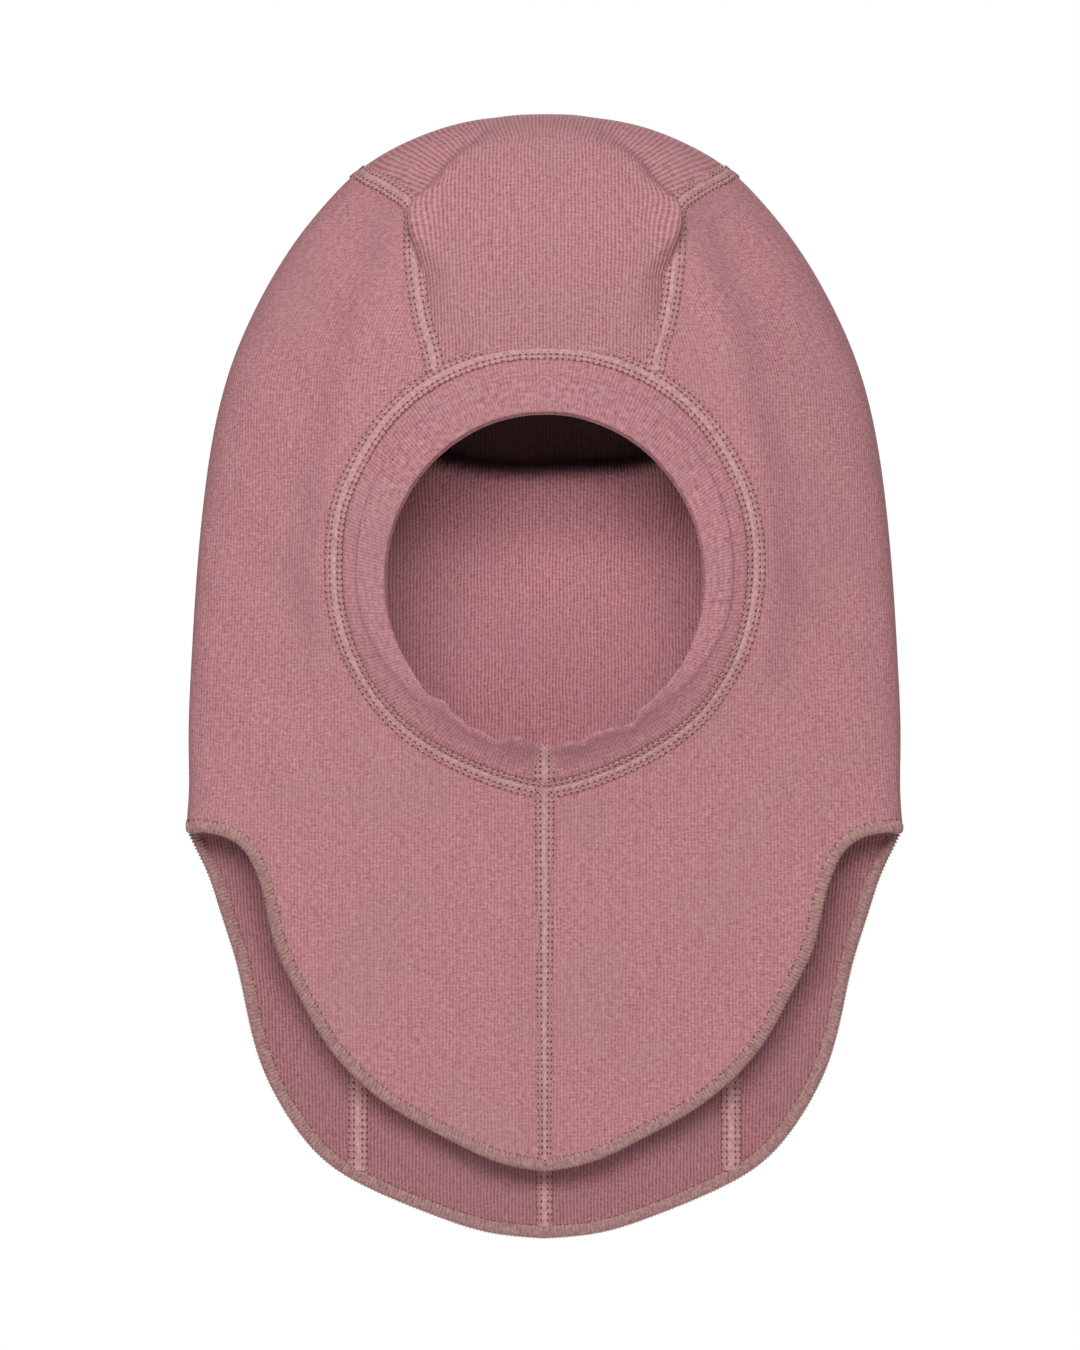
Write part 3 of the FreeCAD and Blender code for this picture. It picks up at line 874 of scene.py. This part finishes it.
def overlockHem(path):
    # w runs from the cut edge into the cloth
    inward = 1.0 if path.at(path.length / 2, 1.0, 0.0)[2] > path.at(path.length / 2, 0.0, 0.0)[2] else -1.0
    total, wide, rise = underFace, overlock["width"], overlock["baseRise"]
    base = np.array([(wide, 0.02), (wide - 0.2, rise), (1.6, 0.26), (0.5, 0.2), (0.06, -0.15), (-0.1, -total / 2),
                     (0.06, -total + 0.15), (0.5, -total - 0.2), (1.6, -total - 0.26), (wide - 0.2, -total - rise),
                     (wide, -total - 0.02)])
    s = np.linspace(0, path.length, int(path.length / 0.7))
    points = path.at(s[:, None], inward * base[None, :, 0], np.broadcast_to(base[:, 1], (len(s), len(base))))
    faces = gridFaces(len(s), len(base)).tolist()
    if inward < 0:
        faces = [f[::-1] for f in faces]
    count = int(path.length / overlock["pitch"])
    pitch = path.length / count
    # one loop: share of the pitch, distance from the edge, height; over the cloth, round the edge and back under it
    loop = np.array([(0.0, 3.45, 0.18), (0.12, 2.6, 0.42), (0.28, 1.2, 0.5), (0.42, 0.1, 0.36),
                     (0.5, -0.3, -total / 2), (0.56, 0.1, -total - 0.36), (0.66, 1.2, -total - 0.5),
                     (0.8, 2.6, -total - 0.42), (0.9, 3.45, -total - 0.2), (0.93, 2.4, -total - 0.3),
                     (0.95, 0.6, -total - 0.3), (0.97, -0.12, -total / 2), (0.985, 0.6, 0.28), (0.995, 2.4, 0.3)])
    k = np.arange(count)
    at = ((k[:, None] + loop[:, 0]) * pitch).ravel()
    jitter = 1 + 0.05 * np.sin(np.repeat(k, len(loop)) * 2.3) + 0.04 * np.sin(np.repeat(k, len(loop)) * 0.9)
    loops = path.at(at, inward * np.tile(loop[:, 1], count) * jitter, np.tile(loop[:, 2], count))
    parts = [(points.reshape(-1, 3), faces), thread(loops, overlock["threadRadius"], 5)]
    # dark discs at the overlock's needle holes: painted shadow
    holes = []
    turn = np.linspace(0, 2 * math.pi, 7)[:-1]
    for row in k[::2]:
        for high in (0.1, -total - 0.1):
            at, w = (row + 0.5) * pitch + 0.3 * np.cos(turn), inward * (wide + 0.12) + 0.2 * np.sin(turn)
            holes.append((path.at(at, w, np.full(6, high)), [list(range(6))]))
    return parts, holes


hemPieces, hemHoleShadows = {}, {}
for line, side, word in ((frontHemLine, -1, "front"), (backHemLine, 1, "back")):
    parts, holes = overlockHem(hemPath(line, side))
    hemPieces[word] = rowOf(parts, word + "_hem_overlock")
    hemHoleShadows[word] = rowOf(holes, word + "_hem_needle_hole_shadows")
print("hems made")


def linear(code):
    # an sRGB hex value as the shader wants it
    parts = [int(code[i:i + 2], 16) / 255 for i in (1, 3, 5)]
    return tuple(c / 12.92 if c <= 0.04045 else ((c + 0.055) / 1.055) ** 2.4 for c in parts) + (1.0,)


def node(tree, kind, inputs=None, **settings):
    # adds a node and sets its properties; each input is a value, a socket, or a node for its first output
    made = tree.nodes.new("ShaderNode" + kind)
    for name, value in settings.items():
        setattr(made, name, value)
    for name, value in (inputs or {}).items():
        if isinstance(value, bpy.types.Node):
            value = value.outputs[0]
        if isinstance(value, bpy.types.NodeSocket):
            tree.links.new(value, made.inputs[name])
        else:
            made.inputs[name].default_value = value
    return made


def newMaterial(name, roughness, sheen, sheenTint, specular=0.25):
    # a fibre's IOR is about 1.5; its fuzz lowers the shine and adds sheen
    material = bpy.data.materials.new(name)
    material.use_nodes = True
    shader = material.node_tree.nodes["Principled BSDF"]
    shader.inputs["Roughness"].default_value = roughness
    shader.inputs["IOR"].default_value = 1.5
    shader.inputs["Specular IOR Level"].default_value = specular
    shader.inputs["Sheen Weight"].default_value = sheen
    shader.inputs["Sheen Roughness"].default_value = 0.5
    shader.inputs["Sheen Tint"].default_value = linear(sheenTint)
    return material, material.node_tree, shader


def ribKnit(name, light, main, deep, grey, ribShare, fuzz, depth):
    # Fine rib jersey of brushed, heathered yarn: soft upright ribs, a mottled colour and a matt, fuzzy face.
    # The knit attribute holds the rib number across, millimetres along and a share of painted shade.
    material, tree, shader = newMaterial(name, 0.88, 0.2, "#e6c2c4")
    knitAt = node(tree, "Attribute", attribute_name="knit").outputs["Vector"]
    across, lengthways, shadeShare = node(tree, "SeparateXYZ", {0: knitAt}).outputs
    objectAt = node(tree, "TexCoord").outputs["Object"]
    # ribs wander a little, as knitted cloth does
    slow = node(tree, "TexNoise", {"Vector": knitAt, "Scale": 0.11, "Detail": 2.0})
    wander = node(tree, "Math", {0: slow, 1: 1.1, 2: -0.55}, operation="MULTIPLY_ADD")
    rib = node(tree, "Math", {0: across, 1: wander}, operation="ADD")
    ribTurn = node(tree, "Math", {0: rib, 1: 2 * math.pi}, operation="MULTIPLY")
    wave = node(tree, "Math", {0: ribTurn}, operation="COSINE")
    ridge = node(tree, "Math", {0: wave, 1: 0.5, 2: 0.5}, operation="MULTIPLY_ADD")
    # courses slope towards the middle of each rib, 1.05 mm apart: coarser than real ones, so that they show
    level = node(tree, "Math", {0: lengthways, 1: 1 / 1.05}, operation="MULTIPLY")
    course = node(tree, "Math", {0: wave, 1: 0.28, 2: level}, operation="MULTIPLY_ADD")
    courseTurn = node(tree, "Math", {0: course, 1: 2 * math.pi}, operation="MULTIPLY")
    stitch = node(tree, "Math", {0: courseTurn}, operation="COSINE")
    # heather: short wisps across the ribs, broad faded patches, and single fibres about 1 mm long
    wispAt = node(tree, "VectorMath", {0: knitAt, 1: (0.5, 1.5, 0.0)}, operation="MULTIPLY")
    wisp = node(tree, "TexNoise", {"Vector": wispAt, "Scale": 1.0, "Detail": 4.0, "Roughness": 0.7})
    patch = node(tree, "TexNoise", {"Vector": objectAt, "Scale": 26.0, "Detail": 2.0})
    lint = node(tree, "TexNoise", {"Vector": objectAt, "Scale": 1050.0, "Detail": 3.0, "Roughness": 0.65})
    # the valleys of ribs and courses are drawn darker: painted shade; the wisps and lint are the yarn's own heather
    shade = -0.05 - 0.5 * (fuzz + ribShare)
    for part, share in ((ridge, ribShare), (wisp, 1.1), (stitch, 0.05), (lint, fuzz)):
        shade = node(tree, "Math", {0: part, 1: share, 2: shade}, operation="MULTIPLY_ADD")
    ramp = node(tree, "ValToRGB", {0: shade})
    ramp.color_ramp.elements.new(0.5)
    for stop, (position, colour) in zip(ramp.color_ramp.elements, ((0.16, deep), (0.5, main), (0.84, light))):
        stop.position, stop.color = position, linear(colour)
    faded = node(tree, "Math", {0: patch, 1: 0.9, 2: -0.378}, operation="MULTIPLY_ADD", use_clamp=True)
    greyer = node(tree, "Mix", {0: faded, "A": ramp, "B": linear(grey)}, data_type="RGBA")
    # painted shade: the colour is darkened towards a deep brown by the knit attribute's shade share
    shaded = node(tree, "Mix", {0: shadeShare, "A": greyer.outputs["Result"], "B": linear("#1c0a0c")},
                  data_type="RGBA")
    tree.links.new(shaded.outputs["Result"], shader.inputs["Base Color"])
    height = ridge
    for part, share in ((stitch, 0.16), (lint, 0.6)):
        height = node(tree, "Math", {0: part, 1: share, 2: height}, operation="MULTIPLY_ADD")
    bump = node(tree, "Bump", {"Strength": 0.75, "Distance": depth, "Height": height})
    tree.links.new(bump.outputs[0], shader.inputs["Normal"])
    return material


def spunThread(name, light, dark):
    # Textured polyester sewing thread: a soft sheen, slightly uneven colour along each loop.
    material, tree, shader = newMaterial(name, 0.7, 0.3, "#f0d6d6", 0.35)
    objectAt = node(tree, "TexCoord").outputs["Object"]
    noise = node(tree, "TexNoise", {"Vector": objectAt, "Scale": 900.0, "Detail": 3.0})
    ramp = node(tree, "ValToRGB", {0: noise})
    for stop, (position, colour) in zip(ramp.color_ramp.elements, ((0.32, dark), (0.66, light))):
        stop.position, stop.color = position, linear(colour)
    tree.links.new(ramp.outputs[0], shader.inputs["Base Color"])
    bump = node(tree, "Bump", {"Strength": 0.5, "Distance": 0.00012, "Height": noise})
    tree.links.new(bump.outputs[0], shader.inputs["Normal"])
    return material


# Colours of each yarn; ribShare is how strongly the rib valleys are darkened as painted shade, fuzz how strongly the
# lint shows, depth the relief in m.
finish = {
    "outer": {"name": "brushedRibKnit", "light": "#deadaf", "main": "#c88990", "deep": "#a0606a", "grey": "#b98d8f",
              "ribShare": 0.17, "fuzz": 0.8, "depth": 0.0001},
    "crown": {"name": "brushedRibKnitCrown", "light": "#dfadaf", "main": "#c88a90", "deep": "#9c5c66",
              "grey": "#ba8f91", "ribShare": 0.34, "fuzz": 0.65, "depth": 0.0002},
    # the lining's colours are drawn lighter than the outer cloth's: painted light for the inside of the hood
    "lining": {"name": "ribKnitLiningPaintedLight", "light": "#ecb0b4", "main": "#d58f97", "deep": "#a2606a", "grey": "#bd9195",
               "ribShare": 0.4, "fuzz": 0.7, "depth": 0.0002},
    "band": {"name": "foldedRibBand", "light": "#deaeb1", "main": "#c78990", "deep": "#9d5e68", "grey": "#ba8f92",
             "ribShare": 0.17, "fuzz": 0.75, "depth": 0.00015},
    "seam": {"name": "coverStitchThread", "light": "#e0b1af", "dark": "#be8b8c"},
    "hem": {"name": "overlockThread", "light": "#d0a5a1", "dark": "#a97b78"},
    "hole": {"name": "needleHoleShadow", "light": "#9a525a", "dark": "#783f47"},
}
cloths = {key: ribKnit(**finish[key]) for key in ("outer", "crown", "lining", "band")}
yarns = {key: spunThread(**finish[key]) for key in ("seam", "hem", "hole")}
print("materials made")

for key, piece in cloth.items():
    layer = key[-1]
    piece.data.materials.append(cloths["lining" if layer == "lining" else "crown" if key[0] == "crown" else "outer"])
faceBand.data.materials.append(cloths["band"])
for pieces, yarn in ((seamPieces, "seam"), (holeShadowPieces, "hole"), (hemPieces, "hem"), (hemHoleShadows, "hole")):
    for piece in pieces.values():
        piece.data.materials.append(yarns[yarn])


def bendWith(piece):
    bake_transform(piece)


for layer, slotName, word in (("outer", "rib_knit_outer", "panel"), ("lining", "rib_knit_lining", "lining")):
    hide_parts(f"crown_{word}", f"back_bib_{word}")
    bendWith(cloth["crown", layer])
    for side in ("left", "right"):
        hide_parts(f"{side}_side_{word}", f"{side}_front_bib_{word}")
        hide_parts(f"{side}_back_bib_{word}")
        bendWith(cloth[side, "front", layer])
        bendWith(cloth[side, "back", layer])
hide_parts("face_band")
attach(faceBand, "hood")
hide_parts("face_band_seam")
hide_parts("front_seam", "front_bib_seam")
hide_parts("nape_seam", "back_bib_seam", "left_crown_seam", "right_crown_seam",
            "left_back_bib_seam", "right_back_bib_seam")
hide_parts("face_band_seam_underside")
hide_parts("front_seam_underside", "front_bib_seam_underside")
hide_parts("nape_seam_underside", "back_bib_seam_underside", "left_crown_seam_underside",
            "right_crown_seam_underside", "left_back_bib_seam_underside", "right_back_bib_seam_underside")
for pieces in (seamPieces, holeShadowPieces):
    for body, piece in pieces.items():
        if body.startswith("hood"):
            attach(piece, "hood")
        else:
            bendWith(piece)
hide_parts("front_hem", "left_notch_hem", "right_notch_hem")
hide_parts("back_hem")
for pieces in (hemPieces, hemHoleShadows):
    for word, piece in pieces.items():
        bendWith(piece)

world = bpy.data.worlds.new("studio")
world.use_nodes = True
sky = world.node_tree
sky.nodes.clear()
# the backdrop is white, and lights the object only a little, as in a studio with dark walls
backdrop = node(sky, "Background", {"Color": linear("#ffffff"), "Strength": 1.0})
walls = node(sky, "Background", {"Color": linear("#fff8f4"), "Strength": 0.09})
seen = node(sky, "LightPath").outputs["Is Camera Ray"]
mixed = node(sky, "MixShader", {0: seen, 1: walls, 2: backdrop})
node(sky, "OutputWorld", {"Surface": mixed})
bpy.context.scene.world = world
bpy.context.scene.view_settings.view_transform = "Standard"

studio = {
    # name, place, aim, width, height, watts
    "key": ((-0.12, -1.45, 0.52), (0.0, 0.0, -0.16), 1.5, 0.62, 18.2),
    "top": ((0.0, -0.1, 1.2), (0.0, 0.0, -0.1), 1.2, 0.6, 3.0),
    "behind": ((0.3, 1.5, 0.5), (0.0, 0.0, -0.16), 1.4, 0.7, 11.0),
}
for name, (place, aim, width, height, watts) in studio.items():
    light = bpy.data.lights.new(name, "AREA")
    light.shape, light.size, light.size_y, light.energy = "RECTANGLE", width, height, watts
    lamp = bpy.data.objects.new(name, light)
    lamp.location = place
    lamp.rotation_euler = (Vector(aim) - Vector(place)).to_track_quat("-Z", "Y").to_euler()
    bpy.context.scene.collection.objects.link(lamp)

view = {"aim": (-0.0014, 0.0, -0.168), "distance": 2.5, "height": 0.41175}
camera = bpy.data.cameras.new("camera")
camera.sensor_fit, camera.sensor_height = "VERTICAL", 36.0
camera.lens = camera.sensor_height * view["distance"] / view["height"]
eye = bpy.data.objects.new("camera", camera)
eye.location = (view["aim"][0], -view["distance"], view["aim"][2])
eye.rotation_euler = (math.pi / 2, 0, 0)
bpy.context.scene.collection.objects.link(eye)
bpy.context.scene.camera = eye

# a plain pale paper floor, below the view
floorMesh = bpy.data.meshes.new("floor")
reach, floorZ = 1.5, -0.5
corners = [(-reach, -reach, floorZ), (reach, -reach, floorZ), (reach, reach, floorZ), (-reach, reach, floorZ)]
floorMesh.from_pydata(corners, [], [(0, 1, 2, 3)])
floorPiece = bpy.data.objects.new("floor", floorMesh)
bpy.context.scene.collection.objects.link(floorPiece)
floorMaterial, floorTree, floorShader = newMaterial("matPaper", 0.9, 0.0, "#ffffff")
floorShader.inputs["Base Color"].default_value = linear("#f4f3f1")
floorMesh.materials.append(floorMaterial)

bpy.context.view_layer.update()
